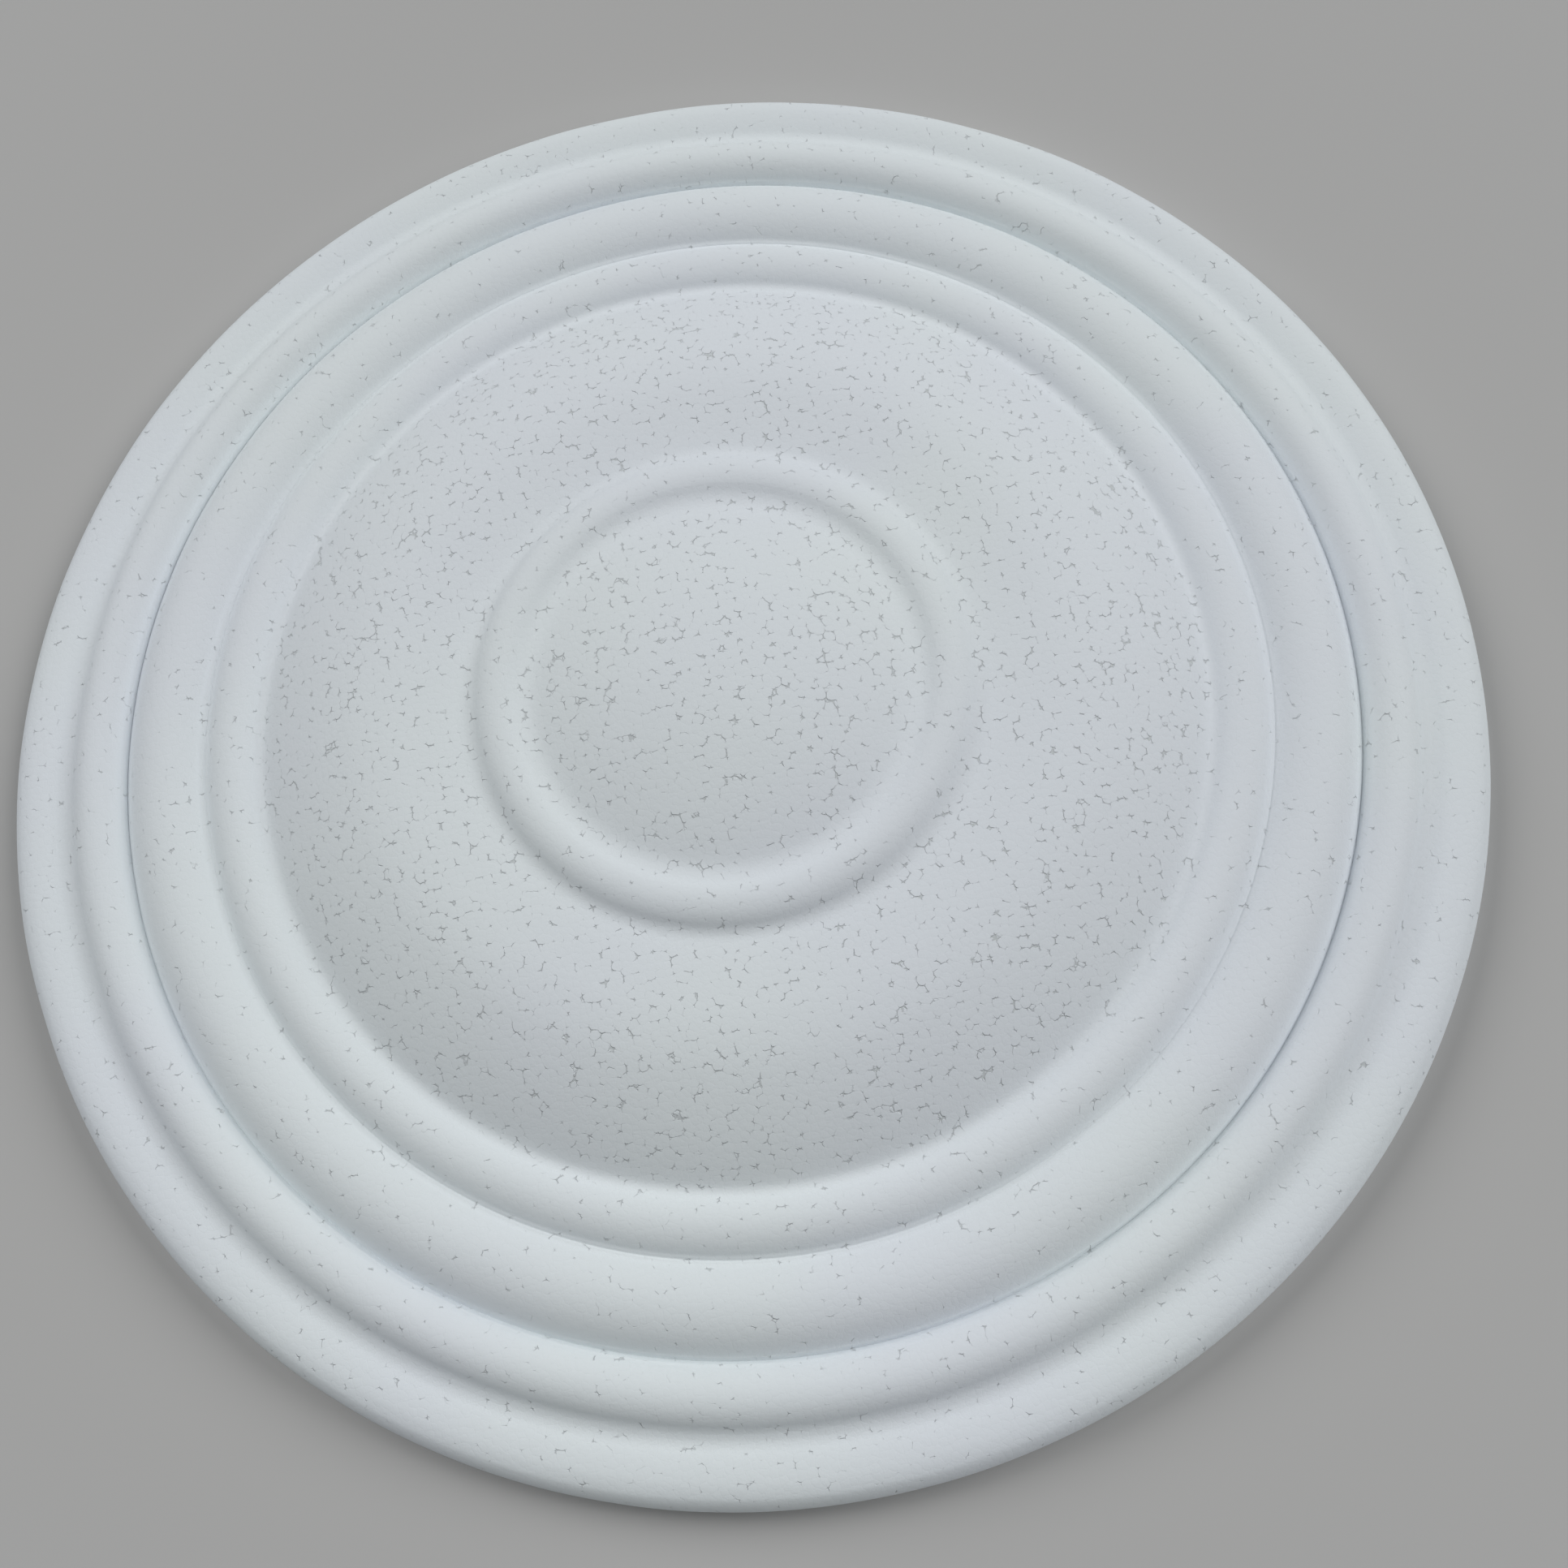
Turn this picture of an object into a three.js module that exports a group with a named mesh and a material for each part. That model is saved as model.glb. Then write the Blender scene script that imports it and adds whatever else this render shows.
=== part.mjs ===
// A moulded foam ceiling rose: the round decorative disc that is glued to a ceiling around the
// place where a lamp hangs. It is moulded in one shot, so it is one solid with no moving parts.
//
// Millimetres, +Z up. The origin is the middle of the flat glue face on the back and +Z is the
// axis of symmetry, so the decorated face looks up, as it does when the rose lies on a table.
import * as THREE from 'three';

// Driving dimensions
const OUTER_RADIUS = 200;
const CENTRE_HEIGHT = 40;
const RIM_SIDE_HEIGHT = 6;
const WALL = 10;
const GLUE_FACE_WIDTH = 40;
const BACK_EDGE_CHAMFER = 0.8;
const SEGMENTS = 72;

// The centre disc is part of a sphere, down to the crease where the bead ring begins.
const CENTRE_DISC = { radius: 51.85, height: 30.5, steps: 6 };

// The rest of the face, outwards. Each moulding is one arc that starts where the last one ends,
// stops at its own radius and height, and bulges by its crown over the straight chord. A cove is
// hollow, so its crown is negative. The crease before each moulding is eased into a soft curve,
// over the length given here on either side of it.
const MOULDINGS = [
  { name: 'bead ring', radius: 65.9, height: 29.1, crown: 3.3, eased: 4.2, steps: 5 },
  { name: 'field rise', radius: 92, height: 30.1, crown: 0.46, eased: 2.7, steps: 3 },
  { name: 'field fall', radius: 127.6, height: 15.3, crown: 1.95, eased: 6.6, steps: 5 },
  { name: 'narrow roll', radius: 143.3, height: 13.8, crown: 3.67, eased: 2.4, steps: 5 },
  { name: 'wide roll', radius: 166.3, height: 10.7, crown: 5.55, eased: 2.4, steps: 7 },
  { name: 'outer roll', radius: 181.35, height: 11.6, crown: 4.5, eased: 2.7, steps: 6 },
  { name: 'cove', radius: 185.45, height: 10.1, crown: -0.3, eased: 1.3, steps: 1 },
  { name: 'rim crown', radius: 195.4, height: 10.8, crown: 0.63, eased: 1.4, steps: 3 },
  { name: 'rim edge', radius: OUTER_RADIUS, height: RIM_SIDE_HEIGHT, crown: 0.8, eased: 1.8, steps: 4 },
];
const EASE_STEPS = 3;

// The hollow back keeps the wall about even: a flat roof behind the centre disc, a curved slope
// behind the domed field, and a shallow shelf behind the narrow and the wide roll.
const HOLLOW = {
  mouthRadius: OUTER_RADIUS - GLUE_FACE_WIDTH,
  draft: 1,
  shelfHeight: 4,
  slopeFootRadius: 128,
  slopeCrown: 4,
  slopeSteps: 5,
  roofRadius: 60,
  roofHeight: CENTRE_DISC.height - WALL,
};

const point = (radius, height) => new THREE.Vector2(radius, height);

// Points of an arc, less the lengths trimmed from its two ends. It bulges by its crown to the
// left of the way from start to end, or to the right where the crown is negative.
function arcPoints(start, end, crown, steps, trimStart = 0, trimEnd = 0) {
  const chord = end.clone().sub(start);
  const half = chord.length() / 2;
  const arcRadius = (half * half + crown * crown) / (2 * crown);
  const along = chord.clone().normalize();
  const left = point(-along.y, along.x);
  const centre = start.clone().add(end).multiplyScalar(0.5).addScaledVector(left, crown - arcRadius);
  const swing = Math.asin(half / arcRadius);
  const first = trimStart / arcRadius - swing;
  const last = swing - trimEnd / arcRadius;
  const points = [];
  for (let step = 0; step <= steps; step += 1) {
    const angle = first + (last - first) * (step / steps);
    points.push(centre.clone()
      .addScaledVector(along, arcRadius * Math.sin(angle))
      .addScaledVector(left, arcRadius * Math.cos(angle)));
  }
  return points;
}

// Points between start and end on a curve that leaves and arrives as if bound for the crease.
function easePoints(start, crease, end) {
  const curve = new THREE.QuadraticBezierCurve(start, crease, end);
  return curve.getPoints(EASE_STEPS).slice(1, -1);
}

function centreDiscPoints() {
  const drop = CENTRE_HEIGHT - CENTRE_DISC.height;
  const sphereRadius = (CENTRE_DISC.radius ** 2 + drop ** 2) / (2 * drop);
  const swing = Math.asin(CENTRE_DISC.radius / sphereRadius) - MOULDINGS[0].eased / sphereRadius;
  const points = [];
  for (let step = 0; step <= CENTRE_DISC.steps; step += 1) {
    const angle = swing * (step / CENTRE_DISC.steps);
    const fall = sphereRadius * (1 - Math.cos(angle));
    points.push(point(sphereRadius * Math.sin(angle), CENTRE_HEIGHT - fall));
  }
  return points;
}

// The decorated face, from the axis out to the widest point of the rim.
function facePoints() {
  const points = centreDiscPoints();
  let crease = point(CENTRE_DISC.radius, CENTRE_DISC.height);
  MOULDINGS.forEach(({ radius, height, crown, eased, steps }, number) => {
    const end = point(radius, height);
    const nextEased = number + 1 < MOULDINGS.length ? MOULDINGS[number + 1].eased : 0;
    const arc = arcPoints(crease, end, crown, steps, eased, nextEased);
    points.push(...easePoints(points[points.length - 1], crease, arc[0]), ...arc);
    crease = end;
  });
  return points;
}

// Down the rim's side, in across the glue face, and up through the hollow to the axis.
function backPoints() {
  const slopeFoot = point(HOLLOW.slopeFootRadius, HOLLOW.shelfHeight);
  const roofEdge = point(HOLLOW.roofRadius, HOLLOW.roofHeight);
  return [
    point(OUTER_RADIUS, BACK_EDGE_CHAMFER),
    point(OUTER_RADIUS - BACK_EDGE_CHAMFER, 0),
    point(HOLLOW.mouthRadius, 0),
    point(HOLLOW.mouthRadius - HOLLOW.draft, HOLLOW.shelfHeight),
    slopeFoot,
    ...arcPoints(slopeFoot, roofEdge, -HOLLOW.slopeCrown, HOLLOW.slopeSteps).slice(1),
    point(0, HOLLOW.roofHeight),
  ];
}

// A lathe's faces point outwards when its profile runs from the back of the axis to the front.
function roseGeometry() {
  const profile = [...facePoints(), ...backPoints()].reverse();
  return new THREE.LatheGeometry(profile, SEGMENTS);
}

const foam = new THREE.MeshStandardMaterial({ color: 0xe6e9ea, roughness: 0.85, metalness: 0 });
foam.name = 'moulded_foam';

const rose = new THREE.Mesh(roseGeometry(), foam);
rose.name = 'ceiling_rose';
rose.rotation.x = Math.PI / 2;

const group = new THREE.Group();
group.add(rose);

export default group;
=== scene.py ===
# %% [markdown]
# # A moulded foam ceiling rose
# This lesson builds the looks of one object: a round foam disc that is glued to a ceiling around
# a lamp. It is a turned shape, so we draw half of its outline once and spin it, as a potter or a
# lathe would, and then give it the skin of moulded foam beads.

# %% Load the frame
from math import asin, cos, pi, radians, sin

import bpy
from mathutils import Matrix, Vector


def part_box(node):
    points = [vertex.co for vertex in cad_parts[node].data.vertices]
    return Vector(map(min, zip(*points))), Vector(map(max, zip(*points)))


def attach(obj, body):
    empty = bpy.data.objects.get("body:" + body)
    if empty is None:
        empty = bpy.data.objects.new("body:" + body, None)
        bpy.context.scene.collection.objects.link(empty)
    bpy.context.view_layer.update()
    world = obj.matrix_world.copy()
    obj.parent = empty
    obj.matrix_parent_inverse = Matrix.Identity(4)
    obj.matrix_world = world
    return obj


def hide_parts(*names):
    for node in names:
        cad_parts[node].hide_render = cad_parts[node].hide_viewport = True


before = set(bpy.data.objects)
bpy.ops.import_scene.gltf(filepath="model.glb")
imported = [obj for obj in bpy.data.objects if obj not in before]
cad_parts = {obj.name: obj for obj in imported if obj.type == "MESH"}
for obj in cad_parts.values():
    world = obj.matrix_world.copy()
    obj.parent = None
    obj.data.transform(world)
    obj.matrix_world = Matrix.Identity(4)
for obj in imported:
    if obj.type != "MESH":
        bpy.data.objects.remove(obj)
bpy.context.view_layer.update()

rose_low, rose_high = (Vector(corner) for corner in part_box("ceiling_rose"))
RADIUS = rose_high.x
HEIGHT = rose_high.z
MM = 0.001
print("the rose is", round(2 * RADIUS / MM), "mm across and", round(HEIGHT / MM), "mm high")

# %% [markdown]
# ## The camera
# The camera looks down at the disc lying on its back, from about 0.4 m up over its near edge, and
# is held a little askew, as a phone is. Its lens is as long as its sensor is wide, which is about
# a phone's usual view.

# %% Camera
SENSOR_WIDTH = 36
LENS_LENGTH = 36
CAMERA_PLACE = (0.0093, -0.1509, 0.4073)
CAMERA_TURN = (radians(17.13), radians(4.12), radians(-13.14))
camera_data = bpy.data.cameras.new("camera")
camera_data.sensor_width = SENSOR_WIDTH
camera_data.lens = LENS_LENGTH
camera = bpy.data.objects.new("camera", camera_data)
camera.location = CAMERA_PLACE
camera.rotation_euler = CAMERA_TURN
bpy.context.scene.collection.objects.link(camera)
bpy.context.scene.camera = camera
print("camera height", round(camera.location.z, 3), "m")

# %% [markdown]
# ## The light
# A white thing needs soft light from the sides, or its mouldings vanish. Three very large, very
# distant soft lamps do it: one to the right, one behind to the left, and a weaker one in front
# that fills. A sun lamp with a wide angle is such a lamp, and it lights every part of the disc
# alike. The Standard view keeps a light grey a light grey.

# %% Soft lamps
LAMP_ANGLE = radians(38)
# each: turn round the disc, lift above the floor, strength
LAMPS = {
    "soft_lamp_right": (15, 35, 1.46),
    "soft_lamp_left": (135, 35, 1.50),
    "soft_lamp_front": (300, 48, 0.62),
}
for name, (turn, lift, strength) in LAMPS.items():
    turn, lift = radians(turn), radians(lift)
    lamp_data = bpy.data.lights.new(name, "SUN")
    lamp_data.angle = LAMP_ANGLE
    lamp_data.energy = strength
    lamp = bpy.data.objects.new(name, lamp_data)
    towards = Vector((cos(lift) * cos(turn), cos(lift) * sin(turn), sin(lift)))
    lamp.location = towards
    lamp.rotation_euler = (-towards).to_track_quat("-Z", "Y").to_euler()
    bpy.context.scene.collection.objects.link(lamp)
bpy.context.scene.view_settings.view_transform = "Standard"
print(len(LAMPS), "lamps")

# %% [markdown]
# ## The sky and the floor
# A very faint sky keeps the deepest shade from going black. The floor is one large plain sheet of
# light grey, so that the white disc stands out from it. It is staged, because it isn't part of
# the object.

# %% Sky and floor
SKY_COLOUR = (0.9, 0.95, 1.0, 1)
SKY_STRENGTH = 0.04
FLOOR_SIZE = 6
FLOOR_COLOUR = (0.47, 0.47, 0.465, 1)
FLOOR_ROUGHNESS = 0.8
world = bpy.data.worlds.new("pale_sky")
world.use_nodes = True
sky = world.node_tree.nodes["Background"]
sky.inputs["Color"].default_value = SKY_COLOUR
sky.inputs["Strength"].default_value = SKY_STRENGTH
bpy.context.scene.world = world

bpy.ops.object.select_all(action="DESELECT")
bpy.ops.mesh.primitive_plane_add(size=FLOOR_SIZE, location=(0, 0, 0))
floor = bpy.context.object
floor.name = "floor"
floor_paint = bpy.data.materials.new("floor_paint")
floor_paint.use_nodes = True
floor_shader = floor_paint.node_tree.nodes["Principled BSDF"]
floor_shader.inputs["Base Color"].default_value = FLOOR_COLOUR
floor_shader.inputs["Roughness"].default_value = FLOOR_ROUGHNESS
floor.data.materials.append(floor_paint)
print("floor", round(floor.dimensions.x, 1), "m wide")

# %% [markdown]
# ## The outline
# The outline runs from the middle of the face, over its mouldings to the rim, round the back and
# up into the hollow. The disc in the middle is part of a sphere. Each moulding after it is an arc,
# given by where it ends and by how far it bulges over its straight chord, because that is how a
# pattern maker's template is drawn. The creases of moulded foam aren't knife-sharp, so the one
# before each moulding is eased into a soft curve.

# %% Outline measures
DISC_EDGE = Vector((51.85 * MM, 30.5 * MM))
DISC_STEPS = 30
# each: end radius, end height, crown, how far the crease before it is eased on either side, steps
FACE_ARCS = {
    "bead ring": (65.9, 29.1, 3.3, (4.2, 4.2), 16),
    "field rise": (92, 30.1, 0.46, (2.7, 2.7), 14),
    "field fall": (127.6, 15.3, 1.95, (6.6, 6.6), 18),
    "narrow roll": (143.3, 13.8, 3.67, (2.4, 2.4), 16),
    "wide roll": (166.3, 10.7, 5.55, (2.4, 2.4), 22),
    "outer roll": (181.35, 11.6, 4.5, (2.5, 2.9), 18),
    "cove": (185.45, 10.1, -0.3, (1.3, 1.3), 5),
    "rim crown": (195.4, 10.8, 0.63, (1.4, 1.4), 9),
    "rim edge": (200, 6, 0.8, (1.8, 1.8), 9),
}
EASE_STEPS = 6
FOOT_EASE_STEPS = 22
# each: radius, half width, depth of the sharp line left at the foot of a crease
FOOT_LINES = {"narrow roll": (143.3, 0.45, 0.25), "wide roll": (166.3, 0.75, 0.9)}
print(len(FACE_ARCS), "arcs after the disc")


# %% Arc and crease
def circle_through(start, end, crown):
    """The centre, radius, two axes and half swing of an arc that bulges by crown to the left."""
    chord = end - start
    half = chord.length / 2
    radius = (half**2 + crown**2) / (2 * crown)
    along = chord.normalized()
    left = Vector((-along.y, along.x))
    centre = (start + end) / 2 + left * (crown - radius)
    return centre, radius, along, left, asin(half / radius)


def arc(start, end, crown, steps, trim_start=0, trim_end=0):
    """Points of an arc from start to end, less the lengths trimmed from its ends."""
    centre, radius, along, left, swing = circle_through(start, end, crown)
    first = -swing + trim_start / radius
    last = swing - trim_end / radius
    turns = [first + (last - first) * step / steps for step in range(steps + 1)]
    return [centre + (along * sin(turn) + left * cos(turn)) * radius for turn in turns]


def ease(start, crease, end, steps):
    """Points of a soft curve that leaves start, and reaches end, as if bound for the crease."""
    shares = [step / steps for step in range(1, steps)]
    return [
        start * (1 - share) ** 2 + crease * 2 * share * (1 - share) + end * share**2
        for share in shares
    ]


print("arc and crease helpers ready")

# %% Face of the outline
drop = HEIGHT - DISC_EDGE.y
sphere = (DISC_EDGE.x**2 + drop**2) / (2 * drop)
arcs = [
    (Vector((end_radius * MM, end_height * MM)), crown * MM, before * MM, after * MM, steps)
    for end_radius, end_height, crown, (before, after), steps in FACE_ARCS.values()
]
widest = asin(DISC_EDGE.x / sphere) - arcs[0][2] / sphere
turns = [widest * step / DISC_STEPS for step in range(DISC_STEPS + 1)]
outline = [Vector((sphere * sin(turn), HEIGHT - sphere * (1 - cos(turn)))) for turn in turns]
crease = DISC_EDGE
for number, (end, crown, eased_before, eased_after, steps) in enumerate(arcs):
    at_foot_line = any(abs(crease.x - line[0] * MM) < MM for line in FOOT_LINES.values())
    ease_steps = FOOT_EASE_STEPS if at_foot_line else EASE_STEPS
    next_eased = arcs[number + 1][2] if number + 1 < len(arcs) else 0
    points = arc(crease, end, crown, steps, eased_after, next_eased)
    outline += ease(outline[-1], crease, points[0], ease_steps) + points
    crease = end
print(len(outline), "points on the face")

# %% [markdown]
# ## The sharp lines
# Two of the eased creases have a fine sharp line at their foot, the outer one much the deeper.
# It is real shape and not bump, so that it stays in the mesh: the outline's points near the line
# are lowered, most of all right on it.

# %% Sharp lines
for line_radius, half_width, depth in FOOT_LINES.values():
    for point in outline:
        share = max(0, 1 - abs(point.x - line_radius * MM) / (half_width * MM))
        point.y -= share * depth * MM
print(len(FOOT_LINES), "sharp lines pressed in")

# %% [markdown]
# ## The back
# The back is our own design, after other roses of this kind: a flat ring behind the rim, which
# is glued to the ceiling, and a hollow inside it with room for the lamp's cable. The hollow has a
# shallow shelf behind the rolls, a curved slope behind the domed field, and a flat roof behind
# the disc. The outline goes round that way, back to the axis, so that the spun shape is closed.

# %% Back of the outline
GLUE_FACE_WIDTH = 40 * MM
BACK_EDGE_CHAMFER = 0.8 * MM
MOUTH_DRAFT = 1 * MM
SHELF_HEIGHT = 4 * MM
SLOPE_FOOT = Vector((128 * MM, SHELF_HEIGHT))
SLOPE_CROWN = 4 * MM
SLOPE_STEPS = 14
ROOF_EDGE = Vector((60 * MM, 20.7 * MM))
mouth_radius = RADIUS - GLUE_FACE_WIDTH
outline += [
    Vector((RADIUS, BACK_EDGE_CHAMFER)),
    Vector((RADIUS - BACK_EDGE_CHAMFER, 0)),
    Vector((mouth_radius, 0)),
    Vector((mouth_radius - MOUTH_DRAFT, SHELF_HEIGHT)),
    SLOPE_FOOT,
]
outline += arc(SLOPE_FOOT, ROOF_EDGE, -SLOPE_CROWN, SLOPE_STEPS)
outline += [Vector((0, ROOF_EDGE.y))]
print(len(outline), "points all round")

# %% [markdown]
# ## Drawing and spinning it
# A plane merged to one point is the pencil's tip. We extrude that point along the outline, then
# spin the line round the axis. The spin ends where it began, so the doubled points are merged
# and the faces turned to look outwards.

# %% Draw the outline
PENCIL_SIZE = 2 * MM
bpy.ops.object.select_all(action="DESELECT")
bpy.ops.mesh.primitive_plane_add(size=PENCIL_SIZE, location=(0, 0, outline[0].y))
rose = bpy.context.object
rose.name = "foam_rose"
bpy.ops.object.transform_apply(location=True, rotation=True, scale=True)
bpy.ops.object.mode_set(mode="EDIT")
bpy.ops.mesh.select_all(action="SELECT")
bpy.ops.mesh.merge(type="CENTER")
for last, point in zip(outline, outline[1:]):
    move = point - last
    bpy.ops.mesh.extrude_region_move(TRANSFORM_OT_translate={"value": (move.x, 0, move.y)})
print(len(outline) - 1, "strokes drawn")

# %% Spin it
SEGMENTS = 320
MERGE_DISTANCE = 0.01 * MM
SHARP_ANGLE = radians(28)
bpy.ops.mesh.select_all(action="SELECT")
bpy.ops.mesh.spin(steps=SEGMENTS, angle=2 * pi, center=(0, 0, 0), axis=(0, 0, 1))
bpy.ops.mesh.select_all(action="SELECT")
bpy.ops.mesh.remove_doubles(threshold=MERGE_DISTANCE)
bpy.ops.mesh.normals_make_consistent(inside=False)
bpy.ops.object.mode_set(mode="OBJECT")
bpy.ops.object.shade_smooth_by_angle(angle=SHARP_ANGLE)
print(len(rose.data.polygons), "faces")

# %% [markdown]
# ## The uneven skin
# A moulding of foam beads is never quite true: it shrinks a little unevenly as it cools. A soft
# cloud pattern pushes the skin in and out by up to 0.15 mm, in slow waves. Displace moves the
# mesh itself, so the waves are there from every side.

# %% Slow waves
WAVE_SIZE = 35 * MM
WAVE_HEIGHT = 0.3 * MM
clouds = bpy.data.textures.new("slow_waves", "CLOUDS")
clouds.noise_scale = WAVE_SIZE
clouds.noise_depth = 1
waves = rose.modifiers.new("slow_waves", "DISPLACE")
waves.texture = clouds
waves.texture_coords = "LOCAL"
waves.strength = WAVE_HEIGHT
waves.mid_level = 0.5
bpy.ops.object.select_all(action="DESELECT")
rose.select_set(True)
bpy.context.view_layer.objects.active = rose
bpy.ops.object.modifier_apply(modifier="slow_waves")
print("height now", round(rose.dimensions.z / MM, 2), "mm")

# %% [markdown]
# ## The foam
# The foam is made of beads of about two millimetres, blown up with steam until they fill the
# mould and press each other flat. Where the steam did not quite close them up, a pit stays
# between three beads, with thin arms along their borders. A Voronoi pattern is just that packing:
# its distance to the nearest centre is greatest where beads meet in threes, and its distance to
# edge is nothing on the borders, so the two together draw star-shaped pits. It reads the place
# on the object itself, so the beads stay put from every side.

# %% Foam material
foam = bpy.data.materials.new("foam_skin")
foam.use_nodes = True
nodes = foam.node_tree.nodes
links = foam.node_tree.links
shader = nodes["Principled BSDF"]


def feed(socket, value):
    """Link a socket to another node's output, or set it to a plain value."""
    if isinstance(value, bpy.types.NodeSocket):
        links.new(value, socket)
    else:
        socket.default_value = value


def math(operation, first, second):
    """One step of arithmetic, such as ADD or MULTIPLY."""
    node = nodes.new("ShaderNodeMath")
    node.operation = operation
    feed(node.inputs[0], first)
    feed(node.inputs[1], second)
    return node.outputs[0]


def ramp(value, low, high, to_low=0.0, to_high=1.0):
    """Turn a value between low and high into one between to_low and to_high, smoothly."""
    node = nodes.new("ShaderNodeMapRange")
    node.interpolation_type = "SMOOTHSTEP"
    feed(node.inputs["Value"], value)
    feed(node.inputs["From Min"], low)
    feed(node.inputs["From Max"], high)
    feed(node.inputs["To Min"], to_low)
    feed(node.inputs["To Max"], to_high)
    return node.outputs["Result"]


print("arithmetic helpers ready")

# %% Pattern helpers
BEAD_SIZE = 2.1 * MM
BEAD_DISORDER = 0.8


def noise(vector, size, detail=2.0):
    """A cloudy pattern whose clouds are about size across."""
    node = nodes.new("ShaderNodeTexNoise")
    feed(node.inputs["Vector"], vector)
    node.inputs["Scale"].default_value = 1 / size
    node.inputs["Detail"].default_value = detail
    return node.outputs


def beads(vector, feature):
    """One feature of the bead packing, such as the distance to the nearest centre."""
    node = nodes.new("ShaderNodeTexVoronoi")
    node.feature = feature
    feed(node.inputs["Vector"], vector)
    node.inputs["Scale"].default_value = 1 / BEAD_SIZE
    node.inputs["Randomness"].default_value = BEAD_DISORDER
    return node.outputs


def blend(share, first, second):
    """A colour between the first and the second."""
    node = nodes.new("ShaderNodeMix")
    node.data_type = "RGBA"
    feed(node.inputs["Factor"], share)
    feed(node.inputs["A"], first)
    feed(node.inputs["B"], second)
    return node.outputs["Result"]


print("bead size", round(BEAD_SIZE / MM, 1), "mm")

# %% [markdown]
# ## The bead packing
# Pressed beads have slightly wavy borders, and a plain Voronoi pattern has straight ones. Before
# the packing is read, each place is shaken a little by a finer noise, and the borders bend.

# %% Bead packing
SHAKE_SIZE = 0.9 * MM
SHAKE_REACH = 0.5 * MM
place = nodes.new("ShaderNodeTexCoord").outputs["Object"]
shake = nodes.new("ShaderNodeVectorMath")
shake.operation = "MULTIPLY_ADD"
feed(shake.inputs[0], noise(place, SHAKE_SIZE)["Color"])
shake.inputs[1].default_value = (SHAKE_REACH, SHAKE_REACH, SHAKE_REACH)
feed(shake.inputs[2], place)
shaken = shake.outputs[0]
centre_distance = beads(shaken, "F1")["Distance"]
border_distance = beads(shaken, "DISTANCE_TO_EDGE")["Distance"]
print("beads packed")

# %% [markdown]
# ## Where the foam is open
# The disc and the field are full of pits, while the ring round the disc and the rolls outside
# are nearly closed. So how far a place is from the axis decides most of how open the foam is.
# Large soft patches and plain chance decide the rest, because pits that are evenly spread look
# printed.

# %% How far from the axis
apart = nodes.new("ShaderNodeSeparateXYZ")
feed(apart.inputs[0], place)
flat = nodes.new("ShaderNodeCombineXYZ")
feed(flat.inputs["X"], apart.outputs["X"])
feed(flat.inputs["Y"], apart.outputs["Y"])
span = nodes.new("ShaderNodeVectorMath")
span.operation = "LENGTH"
feed(span.inputs[0], flat.outputs[0])
from_axis = span.outputs["Value"]
print("distance from the axis ready")

# %% Openness
ROLLS_FROM, ROLLS_FULLY = 124 * MM, 130 * MM
ROLLS_CLOSED = 0.10
RING_CREST = 59 * MM
RING_INNER, RING_OUTER = 4 * MM, 8 * MM
RING_CLOSED = 0.09
PATCH_SIZE = 24 * MM
PATCH_LIMITS = (0.3, 0.7)
PATCH_SWING = 0.02
CHANCE_SIZE = 2.0 * MM
CHANCE_LIMITS = (0.42, 0.66)
CHANCE_RANGE = (-0.16, 0.02)
from_crest = math("ABSOLUTE", math("SUBTRACT", from_axis, RING_CREST), 0.0)
closed_rolls = ramp(from_axis, ROLLS_FROM, ROLLS_FULLY, 0.0, ROLLS_CLOSED)
closed_ring = ramp(from_crest, RING_INNER, RING_OUTER, RING_CLOSED, 0.0)
patchy = ramp(noise(place, PATCH_SIZE)["Fac"], *PATCH_LIMITS, -PATCH_SWING, PATCH_SWING)
chance = ramp(noise(place, CHANCE_SIZE, 0.0)["Fac"], *CHANCE_LIMITS, *CHANCE_RANGE)
closed = math("ADD", math("ADD", closed_rolls, closed_ring), patchy)
openness = math("SUBTRACT", math("ADD", centre_distance, chance), closed)
print("openness ready")

# %% [markdown]
# ## The pits
# A pit is open where the nearest centre is far and a border is near. Its core is a tight star,
# because the border counts for a lot in it; it carries painted shade, a grey for the dark bottom
# of the pit. The basin that it sits in is wider and softer, because the border counts for less,
# and it is what the light catches.

# %% Pits between beads
CORE_BORDER, CORE_LIMITS = 3.0, (0.67, 0.79)
BASIN_BORDER, BASIN_LIMITS = 1.6, (0.60, 0.84)


def pit(border_weight, limits):
    """Nothing on closed skin, rising to one in the middle of an open pit."""
    star = math("SUBTRACT", openness, math("MULTIPLY", border_distance, border_weight))
    return ramp(star, *limits)


# painted shade: the core of each pit, painted grey in the colour below
painted_pit_shade = pit(CORE_BORDER, CORE_LIMITS)
basin = pit(BASIN_BORDER, BASIN_LIMITS)
print("pits drawn")

# %% [markdown]
# ## The relief
# The skin between the pits is not flat either: each bead is a low pillow, a faint seam runs
# between beads, and the mould leaves a fine grain. All four are far finer than any mesh should
# be, so they are heights in metres for one Bump node, which only tilts the light.

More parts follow.
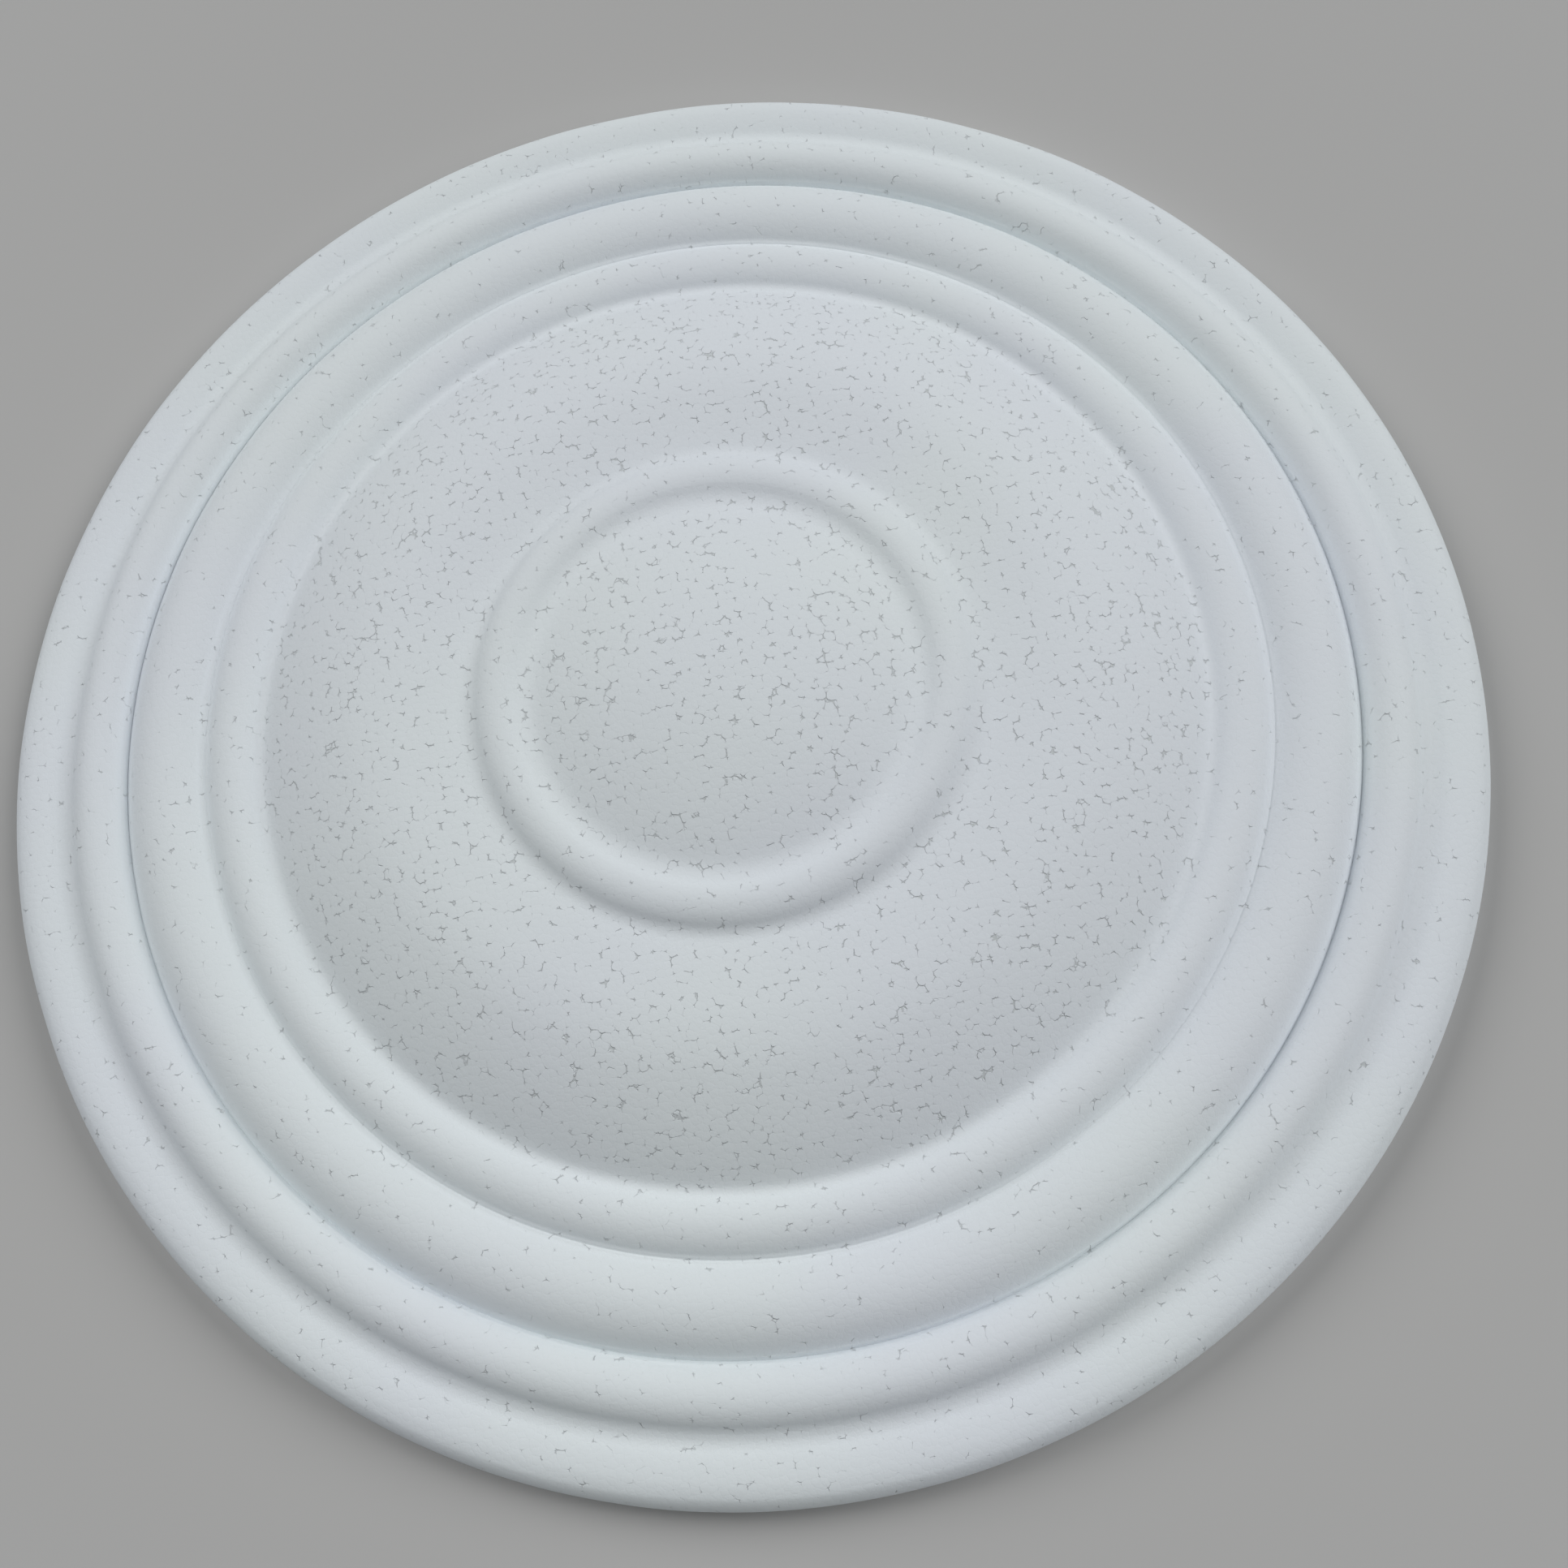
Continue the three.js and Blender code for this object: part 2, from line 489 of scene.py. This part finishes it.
# %% Skin relief
PIT_DEPTH = 0.2 * MM
SEAM_WIDTH, SEAM_DEPTH = 0.10, 0.012 * MM
PILLOW_REACH, PILLOW_HEIGHT = 0.8, 0.02 * MM
GRAIN_SIZE, GRAIN_DETAIL = 0.6 * MM, 3.0
GRAIN_LIMITS = (0.3, 0.7)
GRAIN_HEIGHT = 0.015 * MM
hollow = math("MULTIPLY", basin, -PIT_DEPTH)
seam = ramp(border_distance, 0.0, SEAM_WIDTH, -SEAM_DEPTH, 0.0)
pillow = ramp(centre_distance, 0.0, PILLOW_REACH, PILLOW_HEIGHT, 0.0)
grain_noise = noise(place, GRAIN_SIZE, GRAIN_DETAIL)["Fac"]
grain = ramp(grain_noise, *GRAIN_LIMITS, 0.0, GRAIN_HEIGHT)
relief = math("ADD", math("ADD", hollow, seam), math("ADD", pillow, grain))
bump = nodes.new("ShaderNodeBump")
bump.inputs["Strength"].default_value = 1.0
bump.inputs["Distance"].default_value = 1.0
feed(bump.inputs["Height"], relief)
feed(shader.inputs["Normal"], bump.outputs["Normal"])
print("relief joined")

# %% [markdown]
# ## The colour
# Foam of this kind is a matt, slightly cool white. Two whites that hardly differ drift into each
# other over the disc. The cores of the pits are painted shade: a grey that stands in for the
# shade at the bottom of a pit, where little light comes back out. The sheen is low and the same
# all over, so it is set on the shader itself.

# %% Colour
WHITE = (0.765, 0.82, 0.84, 1)
COOL = (0.755, 0.80, 0.845, 1)
# painted shade inside the pits, not a colour of the foam itself
PAINTED_PIT_SHADE = (0.58, 0.62, 0.635, 1)
TINT_SIZE, TINT_DETAIL = 90 * MM, 1.0
TINT_LIMITS = (0.35, 0.65)
ROUGHNESS = 0.72
SHEEN_LEVEL = 0.3
tint = ramp(noise(place, TINT_SIZE, TINT_DETAIL)["Fac"], *TINT_LIMITS)
skin = blend(tint, WHITE, COOL)
# the pit cores are painted shade grey over the skin's two whites
feed(shader.inputs["Base Color"], blend(painted_pit_shade, skin, PAINTED_PIT_SHADE))
shader.inputs["Roughness"].default_value = ROUGHNESS
shader.inputs["Specular IOR Level"].default_value = SHEEN_LEVEL
rose.data.materials.append(foam)
print("foam skin made with", len(nodes), "nodes")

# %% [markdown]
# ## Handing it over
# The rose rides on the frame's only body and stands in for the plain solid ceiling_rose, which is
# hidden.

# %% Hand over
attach(rose, "root")
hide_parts("ceiling_rose")
